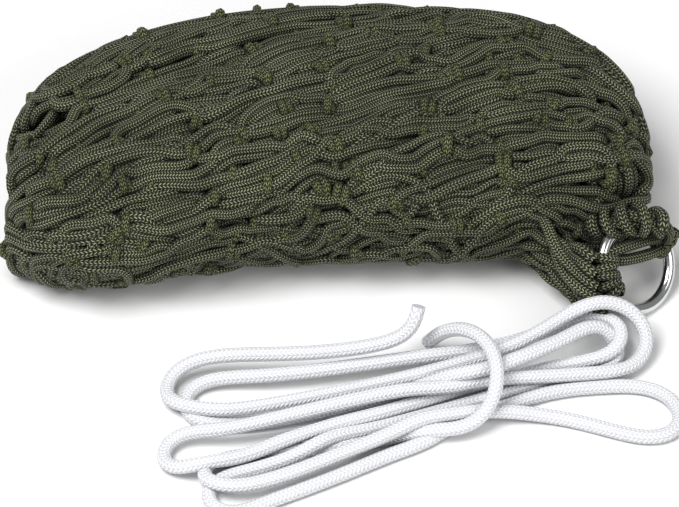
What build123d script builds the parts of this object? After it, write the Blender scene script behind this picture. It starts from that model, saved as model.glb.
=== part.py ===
"""A knotted cord net, folded into a loaf-shaped bundle, with a steel ring at each gathered end
and a tied hank of braided tie rope lying in front of it.

The frame: +X runs along the bundle, +Y points to its back, +Z is up. The origin is on the floor,
below the middle of the net and its rings. Lengths are millimetres.
"""

import os
from math import cos, radians, sin

from build123d import *

# --- driving dimensions -------------------------------------------------------------------------

# The folded net
FOLD_COUNT = 8
BUNDLE_HEIGHT = 72.0
BUNDLE_LEFT = -136.6
BUNDLE_RIGHT = 124.4
BELLY_HEIGHT = 30.0  # height of the widest fold
SECTION_POWER = 2.6  # 2 is an ellipse, and more is squarer
FOLD_TAPER = 0.93  # how far the folds draw in towards the top and the bottom
FOLD_END_INSET = 60.0  # how much shorter the thinnest fold is at each end
FOLD_TIP_SHIFT = 8.0  # how far the right tips lean back
FLOOR_FLATTENING = 0.85  # share of the underside's curve that is left below the belly
SPINE_Y = -8.4  # the bundle's middle line is a shallow bow
SPINE_APEX_X = 9.4
SPINE_BOW = 0.0019  # per millimetre

# Half widths of the widest fold, in front of and behind the middle line, at places along X
HALF_WIDTHS = [
    (-128.0, 34.0, 36.0),
    (-108.0, 52.0, 51.0),
    (-70.0, 60.0, 59.0),
    (-10.0, 61.0, 60.0),
    (45.0, 58.0, 60.0),
    (80.0, 43.0, 57.0),
    (104.0, 27.0, 50.0),
    (118.0, 14.0, 36.0),
]

# Net cord and rings
CORD_D = 4.4
RING_WIRE_D = 5.0
RING_INNER_D = 30.0
CLEARANCE = 0.5
HITCH_R = 6.5  # lump of cord that grips the ring
KNOT_R = 5.0
NECK_R = 4.5
WHIP_TURNS = 4

# The ring that shows: its centre, the way across it, and the way up it
NEAR_CENTRE = (118.0, -66.7, 17.1)
NEAR_ACROSS = (0.80600, 0.41855, -0.41855)
NEAR_UP = (0.0, 0.70711, 0.70711)
HITCH_ANGLE = 200.0
KEEPER_KNOT_ANGLE = 25.6
KEEPER_START_ANGLE = 165.0
TAIL_ANGLE = 60.0
TAIL_LENGTH = 4.5

# The ring behind the bundle leans on the floor
FAR_X = -60.0
FAR_Y = 70.0
FAR_TILT = 25.0

# Routes of the gathered cords, hand-placed
NEAR_NECK = [(90.0, -46.0, 36.0), (106.0, -56.0, 42.5), (119.0, -62.0, 44.0), (128.5, -62.5, 36.5)]
NEAR_LEAD_START = (130.4, -62.5, 35.0)
NEAR_LEAD_END = (130.9, -56.0, 22.0)
NEAR_CLEW_HEADING = (0.86, -0.5, 0.0)
NEAR_CLEW = [(45.0, -56.0, 16.0, 17.0, 12.0), (75.0, -69.0, 16.5, 13.5, 10.5), (92.0, -74.5, 18.0, 9.5, 8.5)]
FAR_NECK = [(-5.0, 46.0, 28.0), (-13.0, 58.0, 30.0), (-27.0, 63.0, 28.0), (-39.0, 61.5, 22.0)]
FAR_CLEW_ROOT = (-60.0, 34.0, 22.0, 20.0, 13.0)

# The tie rope
ROPE_D = 5.8
HANK_HEIGHT = 20.0
HANK_OUTLINE = [
    (-74.0, -128.0),
    (-58.0, -115.0),
    (-22.0, -112.0),
    (18.0, -107.0),
    (50.0, -100.0),
    (78.0, -90.0),
    (98.0, -86.5),
    (116.0, -89.0),
    (122.0, -104.0),
    (100.0, -119.0),
    (70.0, -128.0),
    (30.0, -146.0),
    (-10.0, -168.0),
    (-34.0, -183.0),
    (-48.0, -176.0),
    (-66.0, -160.0),
]
LOOP_ROUTE = [
    (70.0, -131.5),
    (88.0, -123.5),
    (108.0, -120.5),
    (124.0, -121.5),
    (135.0, -128.0),
    (138.5, -138.0),
    (133.5, -147.5),
    (121.0, -149.0),
    (106.0, -144.0),
    (90.0, -140.0),
    (72.0, -140.5),
]
LOOP_HEIGHT = ROPE_D / 2 + 0.1
STUB_FOOT = (30.3, -112.0, 20.5)
STUB_TOP = (30.6, -114.0, 33.0)
WRAP_X = 50.0
WRAP_Y = -118.5
WRAP_TURN = 13.0
WRAP_WIDTH = 12.0
WRAP_LENGTH = 51.0

RING_R = (RING_INNER_D + RING_WIRE_D) / 2


# --- helpers ------------------------------------------------------------------------------------


def ring_frame(centre, across, up):
    """A plane whose X runs across the ring and whose Y runs up it."""
    across = Vector(*across)
    return Plane(origin=centre, x_dir=across, z_dir=across.cross(Vector(*up)))


def far_ring_frame():
    """The far ring leans on the floor, with its hitch towards the bundle and raised."""
    tilt = radians(FAR_TILT)
    turn = radians(HITCH_ANGLE)
    to_hitch = Vector(0, -cos(tilt), sin(tilt))
    normal = Vector(0, sin(tilt), cos(tilt))
    height = RING_R * sin(tilt) + RING_WIRE_D / 2 + 0.1
    across = to_hitch * cos(turn) - normal.cross(to_hitch) * sin(turn)
    return Plane(origin=(FAR_X, FAR_Y, height), x_dir=across, z_dir=normal)


def on_ring(frame, angle, radius=RING_R):
    """The point on the ring's wire at an angle in degrees."""
    turn = radians(angle)
    return frame.from_local_coords(Vector(radius * cos(turn), radius * sin(turn), 0))


def oval(centre, direction, width, height):
    """An upright oval face that looks along a direction."""
    level = Vector(0, 0, 1).cross(Vector(*direction))
    plane = Plane(origin=centre, x_dir=level, z_dir=direction)
    return plane * Ellipse(width, height)


def bend_radii(points):
    """The largest arc at each corner that its two runs leave room for."""
    radii = []
    for before, here, after in zip(points, points[1:], points[2:]):
        first = Vector(*here) - Vector(*before)
        second = Vector(*after) - Vector(*here)
        half_turn = radians(first.get_angle(second)) / 2
        shorter = min(first.length, second.length)
        radii.append(0.45 * shorter / (sin(half_turn) / cos(half_turn)))
    return radii


def tube(points, radius, name):
    """A round tube along straight runs joined by tangent arcs."""
    radii = bend_radii(points)
    print(name, "radii", [round(r, 1) for r in radii])
    path = FilletPolyline(*points, radius=radii)
    section = Plane(origin=path @ 0, z_dir=path % 0) * Circle(radius)
    return sweep(section, path=path)


def without(shape, others):
    """A shape with the space of its neighbours cut away."""
    for other in others:
        shape = shape - other
    return max(shape.solids(), key=lambda solid: solid.volume)


# --- the folded net -----------------------------------------------------------------------------


def spine_y(x):
    """The bundle's middle line, a shallow bow."""
    return SPINE_Y - SPINE_BOW * (x - SPINE_APEX_X) ** 2


def fold_share(z):
    """How wide the bundle is at a height, as a share of its widest fold."""
    if z < BELLY_HEIGHT:
        t = FLOOR_FLATTENING * (BELLY_HEIGHT - z) / BELLY_HEIGHT
    else:
        t = (z - BELLY_HEIGHT) / (BUNDLE_HEIGHT - BELLY_HEIGHT)
    return (1 - FOLD_TAPER * t**SECTION_POWER) ** (1 / SECTION_POWER)


def fold_outline(z):
    """The bundle's outline at one height, as a closed curve."""
    share = fold_share(z)
    inset = (1 - share) * FOLD_END_INSET
    middle = (BUNDLE_LEFT + BUNDLE_RIGHT) / 2
    squeeze = 1 - inset / (BUNDLE_RIGHT - middle)
    front = []
    back = []
    for x, before, behind in HALF_WIDTHS:
        place = middle + (x - middle) * squeeze
        front.append((place, spine_y(place) - before * share, z))
        back.append((place, spine_y(place) + behind * share, z))
    left = middle + (BUNDLE_LEFT - middle) * squeeze
    right = middle + (BUNDLE_RIGHT - middle) * squeeze
    tip_left = (left, spine_y(left), z)
    tip_right = (right, spine_y(right) + FOLD_TIP_SHIFT * share, z)
    points = [tip_left] + front + [tip_right] + back[::-1]
    return make_face(Spline(*points, periodic=True))


def net_fold(number):
    """One fold of the net, a soft layer with sloping edges."""
    step = BUNDLE_HEIGHT / FOLD_COUNT
    bottom = fold_outline(step * (number - 1))
    top = fold_outline(step * number)
    return loft([bottom, top], ruled=True)


# --- the gathered ends --------------------------------------------------------------------------


def steel_ring(frame):
    """A welded ring of round wire."""
    return frame * Torus(RING_R, RING_WIRE_D / 2)


def hitch(frame, ring):
    """The lump of net cords that grips the ring."""
    grip = on_ring(frame, HITCH_ANGLE)
    return Plane(origin=grip, x_dir=frame.x_dir, z_dir=frame.z_dir) * Sphere(HITCH_R) - ring


def keeper_knot(frame, ring):
    """The overhand knot that ties the keeper cord round the ring."""
    return Pos(*on_ring(frame, KEEPER_KNOT_ANGLE)) * Sphere(KNOT_R) - ring


def keeper_tail(frame):
    """The cut end of the keeper cord beyond its knot."""
    way = frame.x_dir * cos(radians(TAIL_ANGLE)) + frame.y_dir * sin(radians(TAIL_ANGLE))
    start = on_ring(frame, KEEPER_KNOT_ANGLE) + way * (KNOT_R + 0.05)
    return lead_cord(start, start + way * TAIL_LENGTH)


def keeper_cord(frame, ring, neighbours):
    """The doubled keeper cord across the ring's upper half."""
    start = on_ring(frame, KEEPER_START_ANGLE)
    end = on_ring(frame, KEEPER_KNOT_ANGLE)
    plane = Plane(origin=start, z_dir=end - start)
    length = (end - start).length
    bar = plane * Cylinder(2.7, length, align=(Align.CENTER, Align.CENTER, Align.MIN))
    return without(bar, [ring] + neighbours)


def near_clew(frame, folds):
    """The net's cords, drawn together from the front of the bundle to the ring."""
    grip = on_ring(frame, HITCH_ANGLE)
    sections = []
    for x, y, z, width, height in NEAR_CLEW:
        sections.append(oval((x, y, z), NEAR_CLEW_HEADING, width, height))
    fan = loft(sections)
    keep_off = Pos(*grip) * Sphere(HITCH_R + CLEARANCE)
    ring_room = frame * Torus(RING_R, RING_WIRE_D / 2 + 4.0)
    return without(fan, folds + [keep_off, ring_room])


def neck(points, folds, name):
    """The thick cord bundle of an edge, before its whipping."""
    return without(tube(points, NECK_R, name), folds)


def whipping(points, start, end):
    """Turns of cord wound side by side round a neck."""
    path = FilletPolyline(*points, radius=bend_radii(points))
    turns = []
    for number in range(WHIP_TURNS):
        place = start + (end - start) * number / (WHIP_TURNS - 1)
        plane = Plane(origin=path @ place, z_dir=path % place)
        turns.append(plane * Torus(NECK_R + 1.3, 1.3))
    return turns


def lead_cord(start, end):
    """The cord that runs from a neck down to the knot on the ring."""
    plane = Plane(origin=start, z_dir=Vector(*end) - Vector(*start))
    length = (Vector(*end) - Vector(*start)).length
    return plane * Cylinder(CORD_D / 2, length, align=(Align.CENTER, Align.CENTER, Align.MIN))


def far_clew(frame, folds):
    """The net's cords at the other end, drawn together behind the bundle."""
    grip = on_ring(frame, HITCH_ANGLE)
    x, y, z, width, height = FAR_CLEW_ROOT
    root = oval((x, y, z), (0, 1, 0), width, height)
    tip = oval((grip.X, grip.Y - HITCH_R - CLEARANCE, grip.Z), (0, 1, 0), 6.0, 5.0)
    return without(loft([root, tip]), folds)


# --- the tie rope -------------------------------------------------------------------------------


def rope_hank():
    """The outer shape of the folded rope."""
    outline = Pos(0, 0, 0.1) * make_face(Spline(*HANK_OUTLINE, periodic=True))
    return extrude(outline, HANK_HEIGHT)


def rope_wrap(hank):
    """The turn of rope that ties the hank round its waist."""
    height = HANK_HEIGHT + ROPE_D
    band = Box(WRAP_WIDTH, WRAP_LENGTH, height, align=(Align.CENTER, Align.CENTER, Align.MIN))
    return without(Pos(WRAP_X, WRAP_Y, 0.1) * Rot(0, 0, WRAP_TURN) * band, [hank])


def rope_loop(hank):
    """The long loose loop beside the hank."""
    points = [(x, y, LOOP_HEIGHT) for x, y in LOOP_ROUTE]
    return without(tube(points, ROPE_D / 2, "tie_rope_loop"), [hank])


def rope_stub():
    """The rope's cut end, standing up from the hank."""
    return lead_cord(STUB_FOOT, STUB_TOP)


# --- the assembly -------------------------------------------------------------------------------


def build():
    """Every sub-part, by the name of its node."""
    parts = {}
    for number in range(1, FOLD_COUNT + 1):
        parts[f"net_fold_{number}"] = net_fold(number)
    folds = list(parts.values())

    near = ring_frame(NEAR_CENTRE, NEAR_ACROSS, NEAR_UP)
    parts["near_ring"] = steel_ring(near)
    parts["near_hitch"] = hitch(near, parts["near_ring"])
    parts["near_keeper_knot"] = keeper_knot(near, parts["near_ring"])
    gripped = [parts["near_hitch"], parts["near_keeper_knot"]]
    parts["near_keeper_cord"] = keeper_cord(near, parts["near_ring"], gripped)
    parts["near_keeper_tail"] = keeper_tail(near)
    parts["near_clew"] = near_clew(near, folds)
    parts["near_neck"] = neck(NEAR_NECK, folds, "near_neck")
    for number, turn in enumerate(whipping(NEAR_NECK, 0.5, 0.88), start=1):
        parts[f"near_whipping_turn_{number}"] = turn
    parts["near_lead_cord"] = lead_cord(NEAR_LEAD_START, NEAR_LEAD_END)

    far = far_ring_frame()
    parts["far_ring"] = steel_ring(far)
    parts["far_hitch"] = hitch(far, parts["far_ring"])
    parts["far_clew"] = far_clew(far, folds)
    parts["far_neck"] = neck(FAR_NECK, folds, "far_neck")
    for number, turn in enumerate(whipping(FAR_NECK, 0.5, 0.85), start=1):
        parts[f"far_whipping_turn_{number}"] = turn

    parts["tie_rope_hank"] = rope_hank()
    parts["tie_rope_wrap"] = rope_wrap(parts["tie_rope_hank"])
    parts["tie_rope_loop"] = rope_loop(parts["tie_rope_hank"])
    parts["tie_rope_stub"] = rope_stub()
    return parts


os.makedirs("parts", exist_ok=True)
for name, shape in build().items():
    export_step(shape, f"parts/{name}.step")
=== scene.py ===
# %% [markdown]
# A knotted cord net, folded into a loaf-shaped bundle. One end is drawn together to a steel ring, and a
# hank of white braided tie rope lies in front. The rings, joints and outer sizes come from the fixed
# frame. What Blender adds is the cord itself: where every strand lies, its knots, and how it is knitted.

# %% Load the fixed frame
import math

import bmesh
import bpy
import numpy as np
from mathutils import Matrix, Vector


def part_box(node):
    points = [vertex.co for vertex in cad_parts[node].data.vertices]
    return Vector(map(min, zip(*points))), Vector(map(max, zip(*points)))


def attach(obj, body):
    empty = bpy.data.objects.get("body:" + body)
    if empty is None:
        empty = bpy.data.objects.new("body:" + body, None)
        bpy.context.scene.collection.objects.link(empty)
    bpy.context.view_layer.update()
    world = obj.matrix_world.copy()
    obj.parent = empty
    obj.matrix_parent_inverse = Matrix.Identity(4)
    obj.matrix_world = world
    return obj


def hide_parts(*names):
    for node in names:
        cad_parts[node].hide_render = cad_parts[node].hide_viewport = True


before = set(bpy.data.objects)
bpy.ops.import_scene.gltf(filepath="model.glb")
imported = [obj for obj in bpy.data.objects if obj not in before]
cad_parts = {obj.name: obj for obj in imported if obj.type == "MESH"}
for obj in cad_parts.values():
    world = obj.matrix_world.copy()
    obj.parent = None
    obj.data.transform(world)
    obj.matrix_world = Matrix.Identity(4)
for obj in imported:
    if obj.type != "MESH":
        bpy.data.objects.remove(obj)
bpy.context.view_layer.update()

# %% [markdown]
# Real sizes, in metres. The net cord is a soft knitted tube that lies a little flat. The mesh legs are
# about 50 mm from knot to knot, and the net is folded back and forth eight times.

# %% Driving sizes
MM = 0.001
CORD_WIDE = 5.2 * MM
CORD_THICK = 4.3 * MM
CORD_APART = 4.4 * MM  # how close two cords' middles can lie, as soft cord gives a little
STRANDS = 36
PASSES = 8
BEADS = 500  # simulated points along a cord, about 5 mm apart
KNOT_STEP = 11  # beads from one knot to the next, about 50 mm
SEED = 7

BUNDLE_LEFT = -136.0 * MM
BUNDLE_RIGHT = 124.0 * MM
BUNDLE_MIDDLE = (BUNDLE_LEFT + BUNDLE_RIGHT) / 2
BUNDLE_HALF = (BUNDLE_RIGHT - BUNDLE_LEFT) / 2
BELLY = 33.0 * MM  # height of the widest part
CROWN = 39.0 * MM  # height of the top above the belly
SQUARE = 2.5  # 2 is an ellipse, more is boxier

rng = np.random.default_rng(SEED)
print("bundle", round(BUNDLE_RIGHT - BUNDLE_LEFT, 3), "long and", round(BELLY + CROWN, 3), "high")

# %% [markdown]
# Each ring has a centre, a way across it and a way up it. A point of its wire is then one angle. The
# centres and the far hitch are read from the frame, so the cords follow the rings wherever they are.

# %% Ring frames
RING_R = 17.5 * MM  # to the middle of the wire
RING_SLEEVE = 8.8 * MM  # cords keep this far from the middle of the wire
HITCH_REACH = 7.2 * MM  # but start this near it at the hitch
KNOT_CLEAR = 14 * MM  # and knots keep this far


def middle_of(node):
    """The middle of a frame node's box."""
    low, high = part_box(node)
    return (low + high) / 2


def on_ring(centre, across, up, angle, radius=RING_R):
    """A point of the ring's wire at an angle in degrees."""
    turn = math.radians(angle)
    return centre + radius * (math.cos(turn) * across + math.sin(turn) * up)


FAR_HITCH = middle_of("far_hitch")
FAR_CENTRE = middle_of("far_ring")
FAR_ACROSS = Vector((1, 0, 0))
FAR_UP = (FAR_HITCH - FAR_CENTRE).normalized()
NEAR_CENTRE = middle_of("near_ring")
NEAR_ACROSS = Vector((0.806, 0.41855, -0.41855))
NEAR_UP = Vector((0, 0.70711, 0.70711))
NEAR_RING = (NEAR_CENTRE, NEAR_ACROSS, NEAR_UP)
FAR_RING = (FAR_CENTRE, FAR_ACROSS, FAR_UP)
RINGS = (NEAR_RING, FAR_RING)
print("rings", NEAR_CENTRE, FAR_CENTRE)

# %% [markdown]
# The bundle's outer shape is a soft loaf. Its middle line bows, its half widths differ in front and
# behind, and its section is a rounded box. It is never drawn. It only holds the strands as hands would,
# so that the real surface is the cords themselves, with the gaps between them.

# %% The loaf that holds the strands
# Place along the bundle, half width in front, half width behind
WIDTHS = np.array([
    (-134, 26, 62), (-120, 43, 67), (-100, 55, 65), (-60, 60, 64), (0, 61, 62),
    (45, 58, 64), (80, 48, 68), (104, 38, 67), (124, 26, 57),
]) * MM


def spine(x):
    """The bundle's middle line, a shallow bow."""
    return -8.4 * MM - 1.9 * (x - 9.4 * MM) ** 2


def loaf_scale(x):
    """How much the section shrinks towards the two blunt ends."""
    t = np.clip(np.abs(x - BUNDLE_MIDDLE) / BUNDLE_HALF, 0, 0.999)
    return (1 - t**7) ** 0.14 * (1 - 0.1 * t**3)


def half_widths(x):
    """The half widths in front of and behind the middle line."""
    return np.interp(x, WIDTHS[:, 0], WIDTHS[:, 1]), np.interp(x, WIDTHS[:, 0], WIDTHS[:, 2])


def section_point(x, across, up):
    """A point of the section at x, from shares of the half width and half height."""
    front, back = half_widths(x)
    scale = loaf_scale(x)
    width = np.where(across < 0, front, back) * scale
    y = spine(x) + across * width
    z = BELLY * scale + up * np.where(up < 0, BELLY, CROWN) * scale
    return np.stack([x, y, z], -1)


def loaf_place(p):
    """Where points lie in their section: angle from the front over the top, and share of the way out."""
    x = np.clip(p[..., 0], BUNDLE_LEFT + 2 * MM, BUNDLE_RIGHT - 1 * MM)
    front, back = half_widths(x)
    scale = loaf_scale(x)
    dy = p[..., 1] - spine(x)
    dz = p[..., 2] - BELLY * scale
    across = dy / (np.where(dy < 0, front, back) * scale - CORD_THICK / 2)
    up = dz / (np.where(dz < 0, BELLY, CROWN) * scale - CORD_THICK / 2)
    out = (np.abs(across) ** SQUARE + np.abs(up) ** SQUARE) ** (1 / SQUARE)
    return x, dy, dz, BELLY * scale, np.arctan2(up, -across), out


def hold_inside(p, outward, skin):
    """Beads past their own skin come back to it, and those inside are pushed a little outward."""
    x, dy, dz, middle, _, out = loaf_place(p)
    over = np.where(out > skin, out / skin, 1 - outward * (out > 0.25))
    return np.stack([x, spine(x) + dy / over, middle + dz / over], -1)


print("widest section", np.sum(half_widths(0.0)).round(3), "across")

# %% [markdown]
# The net lies as a yarn winding does: under the bundle, round its left end, over its top, and so on
# inwards. Strands start side by side, with slow drifts so that they cross as real ones do. Over the top
# they also sweep from the front on the left to the back on the right, because the folds were laid askew.

# %% Where each strand starts
FINE = 4000  # points of a strand's first line, before its beads are spaced
START_TURN = -0.18  # in half turns: near the right end, going left underneath
CORE = 0.86  # how far inwards the last pass lies
FRONT_EDGE = -18.0  # degrees round the section, from the front
ROUND_ABOUT = 216.0  # degrees that the strands cover
SWEEP_RIGHT = 66.0  # degrees of sweep over the top, at each end
SWEEP_LEFT = 28.0


def smooth_noise(count, knots, size):
    """A slow random wander of the given size."""
    places = np.linspace(0, knots - 1, count)
    return np.interp(places, np.arange(knots), rng.normal(0, size, knots))


def even_out(points, count):
    """The same line with its points evenly spaced."""
    steps = np.linalg.norm(np.diff(points, axis=0), axis=1)
    along = np.concatenate([[0], np.cumsum(steps)])
    wanted = np.linspace(0, along[-1], count)
    return np.stack([np.interp(wanted, along, points[:, k]) for k in range(3)], -1)


def first_strand(j):
    """One strand's starting line."""
    turns = PASSES / 2
    way = np.linspace(0, 1, FINE) * turns
    angle = START_TURN * math.pi - way * 2 * math.pi
    depth = 1 - CORE * (way / turns) ** 0.75
    depth = np.clip(depth + smooth_noise(FINE, 30, 0.035), 0.1, 1.0)
    reach = 1 - 0.22 * (way / turns) - np.abs(smooth_noise(FINE, 18, 0.02))
    c, s = np.cos(angle), np.sin(angle)
    x = BUNDLE_MIDDLE + BUNDLE_HALF * reach * np.sign(c) * np.abs(c) ** 0.3
    lift = np.sign(s) * np.abs(s) ** 0.4
    place = (j + 0.5) / STRANDS + smooth_noise(FINE, 34, 0.048)
    round_about = math.radians(FRONT_EDGE) + math.radians(ROUND_ABOUT) * place
    bow = np.clip((x + 0.02) / BUNDLE_HALF, -1, 1)
    top_sweep = np.radians(np.where(bow > 0, SWEEP_RIGHT, SWEEP_LEFT)) * bow
    round_about = round_about + np.where(lift > 0, top_sweep, -0.3 * top_sweep)
    across = -np.cos(round_about) * depth
    up = np.sin(round_about) * depth * lift
    return even_out(section_point(x, across, up), BEADS)


lay = np.array([first_strand(j) for j in range(STRANDS)])
print("first lay of", STRANDS, "strands with", BEADS, "beads each")

# %% [markdown]
# Cords can't lie in each other, so the script has to find beads that come close. Testing every pair would
# be slow. A grid of cells sorts the beads first, and only beads in neighbouring cells are compared.

# %% Which beads are close, and which are knotted
NEXT_CELLS = ((0, 0), (0, 1), (1, -1), (1, 0), (1, 1))
SAME_CORD = 3  # beads this close along one cord don't push each other


def close_pairs(p, reach, beads):
    """Index pairs of points nearer than reach. Beads close along one cord don't count."""
    cell = np.floor((p - p.min(0)) / reach).astype(np.int64) + 1
    size = cell.max(0) + 2
    key = (cell[:, 0] * size[1] + cell[:, 1]) * size[2] + cell[:, 2]
    order = np.argsort(key, kind="stable")
    key = key[order]
    firsts, seconds = [], []
    here = np.arange(len(p))
    for dx, dy in NEXT_CELLS:
        offset = (dx * size[1] + dy) * size[2]
        if dx == dy == 0:
            start = here + 1
        else:
            start = np.searchsorted(key, key + offset - 1, "left")
        end = np.searchsorted(key, key + offset + 1, "right")
        many = np.maximum(end - start, 0)
        a = np.repeat(here, many)
        b = np.arange(many.sum()) - np.repeat(np.cumsum(many) - many, many) + np.repeat(start, many)
        firsts.append(order[a])
        seconds.append(order[b])
    a, b = np.concatenate(firsts), np.concatenate(seconds)
    near = ((p[a] - p[b]) ** 2).sum(1) < reach**2
    a, b = a[near], b[near]
    far_along = (a // beads != b // beads) | (np.abs(a - b) > SAME_CORD)
    return a[far_along], b[far_along]


def knot_pairs(first_free):
    """The beads where strands are knotted to their neighbours, left and right in turn."""
    pairs = []
    phase = np.cumsum(rng.integers(-3, 4, STRANDS))
    phase = phase - int(phase.mean())
    for row in range(1, BEADS // KNOT_STEP):
        for j in range(row % 2, STRANDS - 1, 2):
            bead = row * KNOT_STEP + int(phase[j]) + int(rng.integers(-1, 2))
            if first_free[j] < bead < BEADS - 4:
                pairs.append((j * BEADS + bead, (j + 1) * BEADS + bead))
    return np.array(pairs)


crowded = close_pairs(lay.reshape(-1, 3), CORD_APART, BEADS)[0]
print("bead pairs that lie too close before relaxing", len(crowded))

# %% [markdown]
# The relaxing is position-based: points move until cords keep their length, don't bend too sharply, knots
# hold their two cords together, and no cord lies in another, in a ring or in the floor. A rope solver of
# this kind is a few lines of numpy, and it gives the same lay each run because its noise is seeded.

# %% Relax the cords
# Each row is a span in beads, its least length in bead spacings, and its strength
STRETCH = (1, 1.0, 0.5)
NET_STIFFNESS = (STRETCH, (2, 1.94, 0.25), (4, 3.7, 0.2), (8, 6.8, 0.06))
ROPE_STIFFNESS = (STRETCH, (2, 1.94, 0.3), (4, 3.55, 0.4))
KNOT_GRIP = 3.4 * MM  # the two cords' middles in a knot


def pull(p, a, b, rest, share, only_apart=False):
    """Moves pairs of points towards their rest distance."""
    d = p[b] - p[a]
    length = np.maximum(np.linalg.norm(d, axis=1), 1e-9)
    off = length - rest
    if only_apart:
        off = np.minimum(off, 0)
    move = d * (share * off / length)[:, None]
    count = len(p)
    for k in range(3):
        p[:, k] += np.bincount(a, move[:, k], count) - np.bincount(b, move[:, k], count)


def from_wire(p, centre, across, up):
    """Points in a ring's own frame: across it, up it, out of it, from its centre, and from its wire."""
    across, up = np.array(across), np.array(up)
    from_centre = p - np.array(centre)
    a, u, n = from_centre @ across, from_centre @ up, from_centre @ np.cross(across, up)
    radius = np.maximum(np.hypot(a, u), 1e-6)
    return a, u, n, radius, np.maximum(np.hypot(radius - RING_R, n), 1e-6)


def keep_off_rings(p):
    """Moves points straight out of a sleeve round each ring's wire."""
    for centre, across, up in RINGS:
        a, u, n, radius, away = from_wire(p, centre, across, up)
        grow = np.maximum(RING_SLEEVE / away, 1)
        stretched = (RING_R + (radius - RING_R) * grow) / radius
        in_plane = (a * stretched)[:, None] * across + (u * stretched)[:, None] * up
        moved = in_plane + (n * grow)[:, None] * np.cross(across, up)
        p[:] = np.where((grow > 1)[:, None], np.array(centre) + moved, p)


def relax(lay, knots, steps, apart, lowest, weight, stiffness, outward=0.0, skin=None, held=()):
    """Settles all cords at once. A bead whose skin is 0 ignores the loaf, and held beads stay put."""
    count, beads = lay.shape[:2]
    p = lay.reshape(-1, 3).copy()
    index = np.arange(len(p)).reshape(count, beads)
    rest = 0.99 * np.linalg.norm(np.diff(lay, axis=1), axis=2).mean(1)
    held = np.array(held, int)
    kept = p[held].copy()
    for step in range(steps):
        p[:, 2] -= weight
        for span, least, share in stiffness:
            ends = index[:, :-span].ravel(), index[:, span:].ravel()
            pull(p, *ends, np.repeat(rest * least, beads - span), share, only_apart=span > 1)
        if len(knots):
            pull(p, knots[:, 0], knots[:, 1], KNOT_GRIP, 0.45)
        if step % 5 == 0:
            a, b = close_pairs(p, apart * 1.5, beads)
        pull(p, a, b, apart, 0.35, only_apart=True)
        if skin is not None:
            inside = skin > 0
            p[inside] = hold_inside(p[inside], outward, skin[inside])
        keep_off_rings(p)
        p[:, 2] = np.maximum(p[:, 2], lowest)
        p[held] = kept
    return p.reshape(count, beads, 3)


print("net held straight over spans of", [row[0] for row in NET_STIFFNESS], "beads")

# %% [markdown]
# Fifteen strands leave the bundle's front and run to the near ring, fanned over its skin. This is the
# clew, where a hung net carries all its load. They meet the wire side by side in five places, three deep.

# %% Draw some strands out to the near ring
CLEW_STRANDS = 15
CLEW_BEADS = 30  # points of the fan, from the wire to the bundle
CLEW_FREE = 8  # the first beads hang between the hitch and the bundle
FAN_RIGHT = 0.072  # where the fan meets the bundle


def clew_strand(j, strand):
    """The strand with its start drawn out to the ring."""
    wire = on_ring(*NEAR_RING, 174 + 13 * (j % 5), RING_R + HITCH_REACH)
    start = np.array(wire + NEAR_ACROSS.cross(NEAR_UP) * (j // 5 - 1) * 3.8 * MM)
    meet = int(np.argmax(strand[:, 0] < 0.03 - 0.004 * j + 0.03 * rng.random()))
    x, _, _, _, angle, _ = loaf_place(strand[meet])
    t = np.linspace(0, 1, CLEW_BEADS)
    first = math.radians(-26 + 3.4 * j)
    angles = first + (angle - first) * t**1.5
    fan = section_point(FAN_RIGHT + (x - FAN_RIGHT) * t, -np.cos(angles), np.sin(angles))
    return even_out(np.concatenate([start[None], fan, strand[meet + 1:]]), BEADS)


for j in range(CLEW_STRANDS):
    lay[j] = clew_strand(j, lay[j])
print("clew strands", CLEW_STRANDS)

# %% [markdown]
# Every third strand's other end runs to the far ring. Each strand then gets its own wandering skin depth,
# so some ride over others with dark gaps below, and the whole net is relaxed at once.

# %% Lead the far ends to their ring and relax the net
TAIL_BEADS = 20
NET_SINK = 0.02 * MM  # how far its weight moves a bead each step
OUTWARD = 0.006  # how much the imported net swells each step
for j in range(1, STRANDS, 3):
    target = np.array(FAR_HITCH) + np.array([2.5 * math.sin(j), -6.0, 2.5 * math.cos(j)]) * MM
    tail = np.linspace(0, 1, TAIL_BEADS)[:, None]
    leaving = lay[j][-TAIL_BEADS]
    lay[j] = even_out(np.concatenate([lay[j][:-TAIL_BEADS], leaving + (target - leaving) * tail]), BEADS)

knots = knot_pairs([14 if j < CLEW_STRANDS else 4 for j in range(STRANDS)])
skin = np.array([np.clip(0.95 + smooth_noise(BEADS, 40, 0.07), 0.8, 1.0) for j in range(STRANDS)])
skin[:CLEW_STRANDS, :CLEW_FREE] = 0
first_beads = np.arange(STRANDS) * BEADS
held = np.concatenate([first_beads, first_beads + BEADS - 1])
strands = relax(lay, knots, 240, CORD_APART, CORD_WIDE / 2, NET_SINK,
                NET_STIFFNESS, OUTWARD, skin.ravel(), held)
print("relaxed with", len(knots), "knots; strand lengths",
      np.linalg.norm(np.diff(strands, axis=1), axis=2).sum(1).round(2))

# %% [markdown]
# Each cord is drawn as a NURBS line with a flat oval swept along it. The conversion to a mesh keeps a UV
# map, and its length share is turned into metres, so the knitting has one true scale everywhere. A curve
# with a bevel would look the same, but a mesh can be exported and carries the map along.

# %% Cord helpers
def oval_profile(name, width, thick, sides):
    """The cord's section, a closed oval."""
    data = bpy.data.curves.new(name, "CURVE")
    data.dimensions = "2D"
    spline = data.splines.new("POLY")
    spline.points.add(sides - 1)
    for i, point in enumerate(spline.points):
        turn = 2 * math.pi * i / sides
        point.co = (width / 2 * math.cos(turn), thick / 2 * math.sin(turn), 0, 1)
    spline.use_cyclic_u = True
    profile = bpy.data.objects.new(name, data)
    bpy.context.scene.collection.objects.link(profile)
    profile.hide_render = True
    return profile


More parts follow.
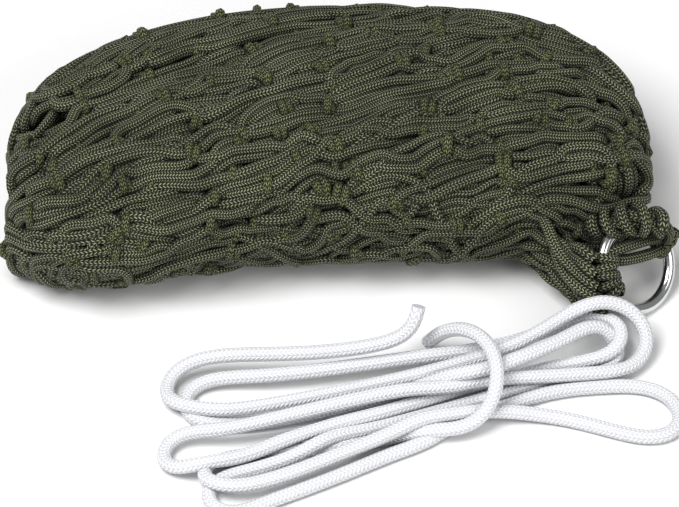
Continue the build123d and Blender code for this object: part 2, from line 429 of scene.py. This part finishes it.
def nurbs_line(name, points, fineness):
    """An open NURBS curve with a route's points as its control points."""
    data = bpy.data.curves.new(name, "CURVE")
    data.dimensions = "3D"
    spline = data.splines.new("NURBS")
    spline.points.add(len(points) - 1)
    for point, place in zip(spline.points, points):
        point.co = (*place, 1)
    spline.order_u = 3
    spline.use_endpoint_u = True
    data.resolution_u = fineness
    return data


def line_length(points):
    """The length of a line of points."""
    return float(np.linalg.norm(np.diff(np.array(points), axis=0), axis=1).sum())


def as_mesh(name, data, material, length):
    """A curve's swept shape as a mesh whose UV runs in metres along the cord."""
    holder = bpy.data.objects.new(name + "_line", data)
    bpy.context.scene.collection.objects.link(holder)
    graph = bpy.context.evaluated_depsgraph_get()
    mesh = bpy.data.meshes.new_from_object(holder.evaluated_get(graph))
    bpy.data.objects.remove(holder)
    mesh.name = name
    uv = mesh.uv_layers[0].data
    values = np.zeros(len(uv) * 2, np.float32)
    uv.foreach_get("uv", values)
    values[0::2] *= length
    uv.foreach_set("uv", values)
    mesh.materials.clear()
    mesh.materials.append(material)
    piece = bpy.data.objects.new(name, mesh)
    bpy.context.scene.collection.objects.link(piece)
    return piece


def cord_piece(name, points, material, fineness=2, body="net"):
    """A cord's mesh along a route, riding with its body."""
    data = nurbs_line(name, points, fineness)
    data.bevel_mode = "OBJECT"
    data.bevel_object = flat_oval
    data.use_fill_caps = True
    piece = as_mesh(name, data, material, line_length(points))
    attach(piece, body)
    return piece


flat_oval = oval_profile("net_cord_section", CORD_WIDE, CORD_THICK, 8)
print("cord section", CORD_WIDE, "by", CORD_THICK)

# %% [markdown]
# A material is a tree of nodes. One small function adds a node with its settings and links, and colours
# are written as hex values, which are turned into the linear light that Blender works in.

# %% Material helpers
MATH = "ShaderNodeMath"


def linear(hex_colour):
    """An sRGB hex colour as linear RGBA."""
    parts = [int(hex_colour[i:i + 2], 16) / 255 for i in (1, 3, 5)]
    return (*[c / 12.92 if c <= 0.04045 else ((c + 0.055) / 1.055) ** 2.4 for c in parts], 1.0)


def add(tree, kind, settings=None, inputs=None):
    """Adds a node. Each input is a value, or is linked to a node's first output or to a given output."""
    node = tree.nodes.new(kind)
    for name, value in (settings or {}).items():
        setattr(node, name, value)
    for name, value in (inputs or {}).items():
        if isinstance(value, bpy.types.Node):
            value = value.outputs[0]
        if isinstance(value, bpy.types.NodeSocket):
            tree.links.new(value, node.inputs[name])
        else:
            node.inputs[name].default_value = value
    return node


def new_material(name):
    """An empty node material and its tree."""
    material = bpy.data.materials.new(name)
    material.use_nodes = True
    material.node_tree.nodes.clear()
    return material, material.node_tree


print("a mid grey in linear light", round(linear("#808080")[0], 3))

# %% [markdown]
# The net is knitted from olive nylon: a soft tube of small stitches, dull and a little fuzzy. Its stitches
# are drawn from the UV map as columns of slanted loops that meet as chevrons. The dark between them is
# painted shade, and their light tops are partly painted highlight; the dark gives the eye the cord's scale.
# A noise makes some stretches more worn, and points deep in a gap get painted shade, because little light
# gets between packed cords. The white tie rope is a tighter braid with more sheen.

# %% Knitted cord
SLANT = 0.8  # how far a stitch leans along the cord, in stitches
STITCH = 1.35 * MM
GAP_REACH = 8 * MM  # how far away other cord still shades a point


def knitted_cord(name, stitch_gap_shade, middle, light, stitch, columns, sheen, cord_gap_shade_power):
    """A knitted tube: columns of slanted stitches that meet as chevrons, with painted shade between stitches
    and between packed cords.
    """
    material, tree = new_material(name)
    split = add(tree, "ShaderNodeSeparateXYZ", None, {0: add(tree, "ShaderNodeUVMap")})
    around = add(tree, MATH, {"operation": "MULTIPLY"}, {0: split.outputs[1], 1: columns})
    along = add(tree, MATH, {"operation": "DIVIDE"}, {0: split.outputs[0], 1: stitch})
    fold = add(tree, MATH, {"operation": "PINGPONG"}, {0: around, 1: 1.0})
    lean = add(tree, MATH, {"operation": "MULTIPLY"}, {0: fold, 1: SLANT})
    slanted = add(tree, MATH, {"operation": "ADD"}, {0: along, 1: lean})
    twice_along = add(tree, MATH, {"operation": "MULTIPLY"}, {0: slanted, 1: 2.0})
    thread = add(tree, MATH, {"operation": "PINGPONG"}, {0: twice_along, 1: 1.0})
    twice_around = add(tree, MATH, {"operation": "MULTIPLY"}, {0: around, 1: 2.0})
    across = add(tree, MATH, {"operation": "PINGPONG"}, {0: twice_around, 1: 1.0})
    rows = add(tree, MATH, {"operation": "POWER"}, {0: thread, 1: 1.25})
    ridge = add(tree, MATH, {"operation": "POWER"}, {0: across, 1: 0.55})
    height = add(tree, MATH, {"operation": "MULTIPLY"}, {0: rows, 1: ridge})

    place = add(tree, "ShaderNodeTexCoord").outputs["Object"]
    worn = add(tree, "ShaderNodeTexNoise", None, {"Vector": place, "Scale": 55.0, "Detail": 3.0})
    wear = add(tree, MATH, {"operation": "MULTIPLY"}, {0: worn, 1: 0.7})
    wear = add(tree, MATH, {"operation": "ADD"}, {0: wear, 1: 0.62})
    shade = add(tree, MATH, {"operation": "MULTIPLY"}, {0: height, 1: wear})
    # Painted shade: the ramp darkens the thread colour into the gaps between stitches, and its light end is
    # partly painted highlight on the stitch tops.
    ramp = add(tree, "ShaderNodeValToRGB", None, {0: shade})
    low, high = ramp.color_ramp.elements
    low.position, low.color = 0.08, linear(stitch_gap_shade)
    high.position, high.color = 0.85, linear(light)
    ramp.color_ramp.elements.new(0.36).color = linear(middle)

    # Painted shade: the colour is darkened where other cord lies close, in the gaps between packed cords.
    gap = add(tree, "ShaderNodeAmbientOcclusion", {"samples": 4}, {"Distance": GAP_REACH})
    depth = add(tree, MATH, {"operation": "POWER"}, {0: gap.outputs["AO"], 1: cord_gap_shade_power})
    shaded = add(tree, "ShaderNodeMix", {"data_type": "RGBA", "blend_type": "MULTIPLY"},
                 {0: 1.0, 6: ramp, 7: depth})

    fuzz = add(tree, "ShaderNodeTexNoise", None, {"Vector": place, "Scale": 1600.0, "Detail": 2.0})
    fibres = add(tree, MATH, {"operation": "MULTIPLY"}, {0: fuzz, 1: 0.25})
    relief = add(tree, MATH, {"operation": "ADD"}, {0: height, 1: fibres})
    bump = add(tree, "ShaderNodeBump", None, {"Strength": 1.0, "Distance": 0.5 * MM, "Height": relief})
    shader = add(tree, "ShaderNodeBsdfPrincipled", None, {
        "Base Color": shaded.outputs[2], "Roughness": 0.6, "Specular IOR Level": 0.2,
        "Sheen Weight": sheen, "Normal": bump})
    add(tree, "ShaderNodeOutputMaterial", None, {"Surface": shader})
    return material


# The first colour of each is painted shade in the stitch gaps, the last the thread's colour with some painted
# highlight.
net_cord = knitted_cord("knitted_olive_nylon_cord", "#040502", "#404530", "#bcc198", STITCH, 12, 0.03, 1.1)
knot_cord = knitted_cord("knotted_olive_nylon_cord", "#0e1206", "#4b512f", "#a6ab78", STITCH, 12, 0.03, 1.0)
rope_white = knitted_cord("white_braided_nylon_rope", "#cfd0d6", "#f7f8fa", "#ffffff",
                          1.8 * MM, 10, 0.2, 0.15)
print("cord materials", net_cord.name, knot_cord.name, rope_white.name)

# %% [markdown]
# The rings are welded steel wire, nickel plated and buffed. They mirror the floor and the cord, and fine
# marks from drawing and buffing blur the mirror unevenly. That blur is what tells the eye it is metal and
# not chrome paint, so a noise drives the roughness. The ring shapes themselves come from the frame.

# %% Bright plated steel
def plated_steel():
    """A clear mirror with fine marks."""
    material, tree = new_material("bright_plated_steel")
    place = add(tree, "ShaderNodeTexCoord").outputs["Object"]
    marks = add(tree, "ShaderNodeTexNoise", None, {"Vector": place, "Scale": 900.0, "Detail": 4.0})
    haze = add(tree, "ShaderNodeMapRange", None, {"Value": marks, "To Min": 0.08, "To Max": 0.22})
    bump = add(tree, "ShaderNodeBump", None, {"Strength": 0.15, "Distance": 0.05 * MM, "Height": marks})
    shader = add(tree, "ShaderNodeBsdfPrincipled", None, {
        "Base Color": linear("#d9dadb"), "Metallic": 1.0, "Roughness": haze, "Normal": bump})
    add(tree, "ShaderNodeOutputMaterial", None, {"Surface": shader})
    return material


steel = plated_steel()
for node in ("near_ring", "far_ring"):
    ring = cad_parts[node]
    ring.data.materials.clear()
    ring.data.materials.append(steel)
print("rings in", steel.name)

# %% [markdown]
# Every strand becomes its own piece, because the real net is made of separate cords. Each one stands for a
# share of the frame's eight net folds.

# %% Draw the strands
FOLDS = [f"net_fold_{n}" for n in range(1, PASSES + 1)]
for j in range(STRANDS):
    piece = cord_piece(f"net_cord_{j + 1:02d}", strands[j], net_cord)
    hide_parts(FOLDS[j * PASSES // STRANDS])
print("strands", STRANDS, "faces each", len(piece.data.polygons))

# %% [markdown]
# Every mesh corner is a netting knot: the cord wraps its neighbour and pulls tight into a lump twice as
# wide as the cord. One small knot is modelled as two turns of cord that cross over. A copy is set at each
# place the strands meet, turned and sized at random, and all copies are one mesh to keep the scene light.

# %% One knot
KNOT_POINTS = 14
KNOT_CORD_R = 1.9 * MM
KNOT_LINE = 44 * MM  # length of cord in one knot
KNOT_HALF = 6.0 * MM  # half the knot's width


def knot_shape():
    """Two turns of cord that cross over, with few faces because it is repeated hundreds of times."""
    data = bpy.data.curves.new("knot_line", "CURVE")
    data.dimensions = "3D"
    spline = data.splines.new("NURBS")
    spline.points.add(KNOT_POINTS - 1)
    for i, point in enumerate(spline.points):
        t = 2 * math.pi * i / KNOT_POINTS
        out = (3.3 + 0.9 * math.sin(t)) * MM
        point.co = (1.6 * MM * math.cos(t), out * math.cos(2 * t), out * math.sin(2 * t), 1)
    spline.use_cyclic_u = True
    spline.order_u = 3
    data.resolution_u = 1
    data.bevel_mode = "ROUND"
    data.bevel_depth = KNOT_CORD_R
    data.bevel_resolution = 1
    piece = as_mesh("knot_shape", data, knot_cord, KNOT_LINE)
    piece.hide_render = True
    return piece


template = knot_shape()
print("knot faces", len(template.data.polygons))


# %% All the knots
def knot_places():
    """A place and two directions for each knot, from the two strands that meet there."""
    flat = strands.reshape(-1, 3)
    for a, b in knots:
        before = flat[max(a - 2, (a // BEADS) * BEADS)]
        after = flat[a + 2]
        middle = (flat[a] + flat[b]) / 2
        middle[2] = max(middle[2], KNOT_HALF)
        if min(from_wire(middle, *ring)[-1] for ring in RINGS) < KNOT_CLEAR:
            continue
        yield middle, after - before, flat[b] - flat[a]


def all_knots():
    """One mesh with a knot at each meeting."""
    bm = bmesh.new()
    bm.loops.layers.uv.new("UVMap")
    for place, along, side in knot_places():
        x = Vector(along).normalized()
        z = x.cross(Vector(side) + Vector((1e-5, 2e-5, 1e-5))).normalized()
        y = z.cross(x)
        turn = Matrix((x, y, z)).transposed().to_4x4()
        size = 0.9 + 0.2 * rng.random()
        spin = Matrix.Rotation(rng.uniform(0, 2 * math.pi), 4, "X")
        before = len(bm.verts)
        bm.from_mesh(template.data)
        bm.verts.ensure_lookup_table()
        where = Matrix.Translation(Vector(place)) @ turn @ spin @ Matrix.Scale(size, 4)
        bmesh.ops.transform(bm, verts=bm.verts[before:], matrix=where)
    mesh = bpy.data.meshes.new("net_knots")
    bm.to_mesh(mesh)
    bm.free()
    mesh.materials.append(knot_cord)
    piece = bpy.data.objects.new("net_knots", mesh)
    bpy.context.scene.collection.objects.link(piece)
    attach(piece, "net")
    return piece


net_knots = all_knots()
print("knots", len(net_knots.data.polygons) // len(template.data.polygons))

# %% [markdown]
# A hitch ties the gathered net to its ring: a few turns of cord side by side, each a little askew because
# a hand pulled it tight. What grips a ring rides with that ring, so it swings as one.

# %% Turns of cord round the rings
WRAP_R = 5.0 * MM
WRAP_TURNS = 1.06  # a little past one, so the ends lie side by side
WRAP_POINTS = 15
WRAP_CLIMB = 1.6 * MM  # how far its end lies from its start along the wire
WRAP_LEAN = 0.18


def wrap_points(centre, axis, start):
    """Points of one turn round an axis, climbing along it."""
    axis = Vector(axis).normalized()
    side = axis.orthogonal().normalized()
    other = axis.cross(side)
    points = []
    for i in range(WRAP_POINTS):
        share = i / (WRAP_POINTS - 1)
        angle = start + 2 * math.pi * WRAP_TURNS * share
        out = WRAP_R * (math.cos(angle) * side + math.sin(angle) * other)
        points.append(centre + out + axis * WRAP_CLIMB * (share - 0.5))
    return points


def wraps_on_ring(prefix, ring, angles, body, node):
    """Turns of cord side by side round the ring's wire."""
    for number, angle in enumerate(angles):
        tangent = on_ring(*ring, angle + 2) - on_ring(*ring, angle - 2)
        askew = Vector((math.sin(number * 2.1), math.cos(number * 1.3), 0.3))
        route = wrap_points(on_ring(*ring, angle), tangent.normalized() + WRAP_LEAN * askew, number)
        piece = cord_piece(f"{prefix}_{number + 1}", route, net_cord, 4, body)
        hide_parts(node)
    print(prefix, len(angles))


wraps_on_ring("near_hitch_wrap", NEAR_RING, (170, 182, 194, 206, 218), "near_ring", "near_hitch")
wraps_on_ring("far_hitch_wrap", FAR_RING, (70, 83, 97, 110), "far_ring", "far_hitch")

# %% [markdown]
# Above each ring the net's edge cords are twisted into a short neck and whipped: one cord wound tightly
# round and round to bind them. Three cords laid round each other along a route make the twist, and the
# whipping is one long winding on the same route. The necks belong to the net and stay when a ring swings.

# %% Twisted and whipped necks
NECK_CORDS = 3
NECK_LAY_R = 1.9 * MM
NECK_TURNS = 1.5
NECK_POINTS = 40
WHIP_R = 5.0 * MM
WHIP_TURNS = 5
WHIP_POINTS = 14  # in each turn

# Points along each neck, in millimetres
NEAR_NECK = [(74, -46, 30), (90, -52, 31), (103, -58, 32), (113, -61, 38), (122, -61, 39), (129, -60, 31)]
FAR_NECK = [
    (-5, 42, 28), (-10, 52, 30), (-19, 60, 30), (-29, 61, 28), (-39, 55, 28), (-48, 48, 27), (-56, 44, 22),
]


def smooth_route(points, count):
    """Evenly spaced points of a NURBS line shaped by given ones in millimetres."""
    holder = bpy.data.objects.new("route", nurbs_line("route", [Vector(p) * MM for p in points], 24))
    bpy.context.scene.collection.objects.link(holder)
    graph = bpy.context.evaluated_depsgraph_get()
    mesh = bpy.data.meshes.new_from_object(holder.evaluated_get(graph))
    line = np.array([vertex.co for vertex in mesh.vertices])
    bpy.data.objects.remove(holder)
    return even_out(line, count)


def beside(middle, axis, angle, radius):
    """A point beside a line, at an angle round it."""
    axis = Vector(axis).normalized()
    side = axis.cross(Vector((0, 0, 1))).normalized()
    other = axis.cross(side)
    return Vector(middle) + radius * (math.cos(angle) * side + math.sin(angle) * other)


def twisted(prefix, route, node):
    """Cords laid round each other along a route."""
    line = smooth_route(route, NECK_POINTS)
    steps = np.gradient(line, axis=0)
    for number in range(NECK_CORDS):
        points = []
        for i, (place, step) in enumerate(zip(line, steps)):
            angle = 2 * math.pi * (number / NECK_CORDS + NECK_TURNS * i / NECK_POINTS)
            points.append(beside(place, step, angle, NECK_LAY_R))
        piece = cord_piece(f"{prefix}_{number + 1}", points, net_cord)
        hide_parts(node)
    return line, steps


def whipped(name, line, steps, first, last, nodes):
    """One cord wound round a neck, from a first to a last share of its length."""
    points = []
    count = WHIP_TURNS * WHIP_POINTS
    for i in range(count):
        share = first + (last - first) * i / (count - 1)
        place = share * (len(line) - 1)
        low = min(int(place), len(line) - 2)
        middle = line[low] + (line[low + 1] - line[low]) * (place - low)
        points.append(beside(middle, steps[low], 2 * math.pi * i / WHIP_POINTS, WHIP_R))
    piece = cord_piece(name, points, net_cord, 3)
    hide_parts(*nodes)


neck = twisted("near_neck_strand", NEAR_NECK, "near_neck")
whipped("near_whipping", *neck, 0.4, 0.93, [f"near_whipping_turn_{n}" for n in range(1, 5)])
neck = twisted("far_neck_strand", FAR_NECK, "far_neck")
whipped("far_whipping", *neck, 0.3, 0.7, [f"far_whipping_turn_{n}" for n in range(1, 5)])
print("necks of", NECK_CORDS, "cords with", WHIP_TURNS, "turns of whipping")

# %% [markdown]
# A doubled cord runs across the near ring to a tight knot on its wire, with a short cut tail. It keeps the
# ring from turning in its hitch, and it rides with the ring. It is drawn as two separate runs on an arch
# over the ring's open middle. The knot is one closed loop that weaves through itself like a pulled knot.

# %% Keeper cord, its knot and tail
KNOT_AT = on_ring(*NEAR_RING, 34)
KEEPER_START = on_ring(*NEAR_RING, 168, RING_R - 1 * MM)
KEEPER_ARCH = ((0.12, 0.8), (0.35, 1.15), (0.62, 1.2), (0.85, 1.0))  # share of the way, share of the rise
KEEPER_RUNS = ((3.2, 2.6), (2.2, -2.6))  # each run's rise off the ring and place beside its middle, in mm
LUMP_POINTS = 24
LUMP_SIZE = 1.55 * MM
ring_normal = NEAR_ACROSS.cross(NEAR_UP)


def knotted_lump(name, centre, scale, body):
    """A tight overhand knot with a smooth surface."""
    points = []
    for i in range(LUMP_POINTS + 1):
        t = 2 * math.pi * i / LUMP_POINTS
        x = math.sin(t) + 2 * math.sin(2 * t)
        y = math.cos(t) - 2 * math.cos(2 * t)
        weave = math.sin(3 * t)
        points.append(Vector(centre) + scale * Vector((x, 0.6 * y - 0.7 * weave, 0.75 * y + 0.6 * weave)))
    piece = cord_piece(name, points, knot_cord, 3, body)
    return piece


for number, (lift, side) in enumerate(KEEPER_RUNS, start=1):
    offset = ring_normal * lift * MM + NEAR_UP * side * MM
    route = [KEEPER_START + NEAR_UP * 0.3 * side * MM]
    route += [KEEPER_START + way * (KNOT_AT - KEEPER_START) + offset * rise for way, rise in KEEPER_ARCH]
    route += [KNOT_AT + offset * 0.4]
    piece = cord_piece(f"near_keeper_cord_{number}", route, net_cord, 8, "near_ring")
    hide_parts("near_keeper_cord")

lump_at = KNOT_AT - 2.2 * MM * NEAR_ACROSS + 1.5 * MM * ring_normal
knot_piece = knotted_lump("near_keeper_knot_cord", lump_at, LUMP_SIZE, "near_ring")
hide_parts("near_keeper_knot")
tail_way = (0.75 * NEAR_ACROSS + 0.6 * NEAR_UP + 0.2 * ring_normal).normalized()
tail_start = KNOT_AT + 1.0 * MM * ring_normal
tail_route = [tail_start + tail_way * t * MM for t in (-1, 2, 4.5, 7)]
tail = cord_piece("near_keeper_tail_cord", tail_route, net_cord, 6, "near_ring")
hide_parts("near_keeper_tail")
print("keeper runs", len(KEEPER_RUNS), "from", KEEPER_START, "to", KNOT_AT)

# %% [markdown]
# One cord leads from the near neck over and down to the keeper. The frame's two clews, the fans of cord at
# the net's ends, are already drawn by the net's own strands, so this piece also stands for them.

# %% Lead cord
# Points in millimetres
LEAD_ROUTE = [(119, -58, 38), (127, -60, 36), (131.5, -60, 31), (131.8, -58.5, 26), (130.5, -57, 22.5)]
lead = cord_piece("near_lead_cord_strand", [Vector(p) * MM for p in LEAD_ROUTE], net_cord, 8, "net")
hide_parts("near_lead_cord", "near_clew", "far_clew")
print("lead cord points", len(LEAD_ROUTE))

# %% [markdown]
# The tie rope is one length of white braid, folded by hand into a flat hank and tied round its waist. No
# formula gives a hand's folds, so its route is a list of given points. The same relaxing then lets
# the runs lie on each other, and a little easing takes out kinks that a real rope couldn't hold.

# %% Tie rope
ROPE_D = 5.8 * MM
ROPE_FINE = 1200  # points of the smooth route, before the beads are spaced
ROPE_BEADS = 400
ROPE_SINK = 0.012 * MM  # how far its weight moves a bead each step
ROPE_EASING = 3  # rounds of easing
# Points in millimetres, from the cut end that stands up to the end tucked in by the bundle
ROPE_ROUTE = [
    (30, -101, 30), (30, -104, 27), (30, -106, 21), (23, -107, 17), (7, -111, 16), (-17, -113, 15),
    (-40, -112, 14), (-56, -111, 12), (-68, -113, 7), (-73, -121, 4), (-70, -132, 4), (-56, -139, 7),
    (-34, -137, 10), (-5, -131, 11), (23, -123, 11), (48, -114, 11), (72, -106, 14), (89, -95, 19),
    (101, -88.5, 23), (114, -88, 19), (123, -94, 11), (124, -102, 6), (116, -112, 4), (101, -117, 5),
    (78, -119, 8), (56, -124, 13), (32, -129, 14), (3, -137, 14), (-26, -146, 13), (-50, -151, 10),
    (-64, -149, 7), (-73, -153, 4), (-74, -162, 3), (-66, -169, 4), (-48, -168, 8), (-21, -153, 8),
    (7, -142, 8), (36, -128, 6), (56, -120, 6), (81, -112, 5), (101, -109, 7), (112, -104, 8),
    (115, -95, 10), (108, -88, 12), (96, -89, 13), (76, -99, 10), (56, -104, 8), (32, -108, 9), (3, -114, 9),
    (-26, -119, 9), (-48, -118, 7), (-61, -119, 4), (-67, -128, 3), (-62, -138, 3), (-50, -142, 3),
    (-34, -141, 4), (-5, -133, 4), (23, -124, 4), (48, -129, 18), (72, -117, 18), (93, -103, 16),
    (105, -94, 15),
    (114, -99, 9), (113, -109, 4), (102, -115, 3), (90, -114, 3), (68, -122, 3), (52, -129, 3), (27, -138, 4),
    (-1, -150, 5), (-30, -165, 5), (-46, -169, 4), (-56, -174, 3), (-58, -182, 3), (-50, -188, 3),
    (-37, -186, 3),
    (-17, -177, 3), (11, -162, 3), (40, -144, 3), (64, -131, 4), (89, -120, 3), (113, -118, 3),
    (129, -122, 3), (136, -134, 3), (133, -148, 3), (120, -150, 3), (101, -142, 3), (81, -135, 3),
    (60, -137, 9), (36, -143, 9), (7, -156, 8), (-21, -172, 8), (-40, -180, 9), (-52, -179, 8),
    (-58, -170, 6), (-53, -161, 5), (-40, -157, 4), (-21, -157, 4), (3, -151, 3), (30, -147, 3),
    (50, -146, 4),
    (60, -141, 13), (63, -130, 24), (58, -114, 26), (47, -104, 23), (37, -100, 14), (34, -98, 6),
]

rope_line = even_out(smooth_route(ROPE_ROUTE, ROPE_FINE), ROPE_BEADS)[None]
rope_line = relax(rope_line, [], 90, ROPE_D, ROPE_D / 2, ROPE_SINK, ROPE_STIFFNESS)[0]
for _ in range(ROPE_EASING):
    rope_line[1:-1] = (rope_line[:-2] + 2 * rope_line[1:-1] + rope_line[2:]) / 4
rope_line = even_out(rope_line, len(rope_line))
rope_data = nurbs_line("tie_rope_line", rope_line, 2)
rope_data.bevel_mode = "ROUND"
rope_data.bevel_depth = ROPE_D / 2
rope_data.bevel_resolution = 4
rope_data.use_fill_caps = True
ROPE_LENGTH = line_length(rope_line)
tie_rope = as_mesh("tie_rope_cord", rope_data, rope_white, ROPE_LENGTH)
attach(tie_rope, "tie_rope")
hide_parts("tie_rope_hank", "tie_rope_loop", "tie_rope_stub", "tie_rope_wrap")
print("tie rope length", round(ROPE_LENGTH, 3))
tuple(rope_line[0])
[tuple(p) for p in rope_line]

# %% [markdown]
# The camera stands far away with a long lens, half way between level and straight down, so the bundle
# keeps its proportions. The floor is a pale sheet, as on a studio table.

# %% Camera and floor
LOOK_AT = Vector((-1.3, -42.4, 0.0)) * MM
PICTURE_WIDTH = 277 * MM
DISTANCE = 2.4
VIEW_DOWN = math.radians(45)
FLOOR_HALF = 3
camera_data = bpy.data.cameras.new("camera")
camera_data.lens = camera_data.sensor_width * DISTANCE / PICTURE_WIDTH
camera = bpy.data.objects.new("camera", camera_data)
bpy.context.scene.collection.objects.link(camera)
back = Vector((0, -math.cos(VIEW_DOWN), math.sin(VIEW_DOWN)))
camera.location = LOOK_AT + back * DISTANCE
camera.rotation_euler = (-back).to_track_quat("-Z", "Y").to_euler()
camera_data.clip_end = 20
bpy.context.scene.camera = camera

floor_mesh = bpy.data.meshes.new("floor")
bm = bmesh.new()
bmesh.ops.create_grid(bm, x_segments=1, y_segments=1, size=FLOOR_HALF)
bm.to_mesh(floor_mesh)
bm.free()
floor = bpy.data.objects.new("floor", floor_mesh)
bpy.context.scene.collection.objects.link(floor)
pale, tree = new_material("pale_studio_floor")
shader = add(tree, "ShaderNodeBsdfDiffuse", None, {"Color": linear("#f4f4f4")})
add(tree, "ShaderNodeOutputMaterial", None, {"Surface": shader})
floor_mesh.materials.append(pale)
print("camera", DISTANCE, "m away, picture", PICTURE_WIDTH, "m wide")

# %% [markdown]
# Two soft lamps light the bundle. The strong one stands at the left and high up, so the cords are light on
# top and dark between, and the weak one opens the shadows on the right. An even world light does the rest.

# %% Lights
WORLD_LIGHT = 0.25


def area_light(name, place, size, power):
    """A soft square lamp that points at the bundle."""
    data = bpy.data.lights.new(name, "AREA")
    data.size = size
    data.energy = power
    lamp = bpy.data.objects.new(name, data)
    lamp.location = place
    lamp.rotation_euler = (LOOK_AT - Vector(place)).to_track_quat("-Z", "Y").to_euler()
    bpy.context.scene.collection.objects.link(lamp)


area_light("key_softbox", (-0.5, -0.5, 1.3), size=0.8, power=22)
area_light("fill_softbox", (0.9, -0.9, 0.8), size=0.9, power=8)
world = bpy.data.worlds.new("studio")
bpy.context.scene.world = world
world.use_nodes = True
background = world.node_tree.nodes["Background"]
background.inputs["Color"].default_value = (1, 1, 1, 1)
background.inputs["Strength"].default_value = WORLD_LIGHT
bpy.context.scene.view_settings.view_transform = "Standard"
print("lights 2, world", WORLD_LIGHT)
